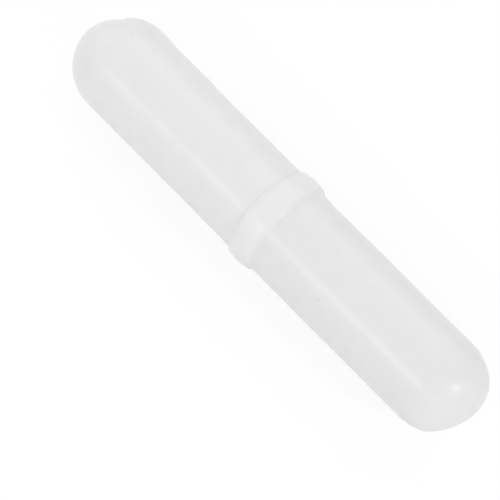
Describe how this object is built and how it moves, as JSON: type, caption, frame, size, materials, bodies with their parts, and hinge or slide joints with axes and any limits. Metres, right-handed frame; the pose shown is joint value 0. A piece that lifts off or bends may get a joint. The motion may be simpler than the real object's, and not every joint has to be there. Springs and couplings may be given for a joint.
{
  "type": "magnetic stir bar",
  "caption": "Round-ended rod with a raised pivot ring round its middle: white plastic moulded over a rod magnet, spun in a liquid by a rotating magnetic drive.",
  "frame": {"origin": "centre of the bar, on its axis midway between its two tips and in the middle of the pivot ring", "axes": "+X along the bar's axis, towards the end that lies nearer the viewer; the bar is round, so +Y and +Z are alike"},
  "size_m": [0.0544, 0.0108, 0.0108],
  "materials": {
    "sheath": "PTFE, satin white and slightly translucent, as moulded",
    "magnet": "cast AlNiCo rod, ground, dull grey"
  },
  "bodies": {
    "root": {"sheath": "sheath", "magnet": "magnet"}
  },
  "joints": []
}
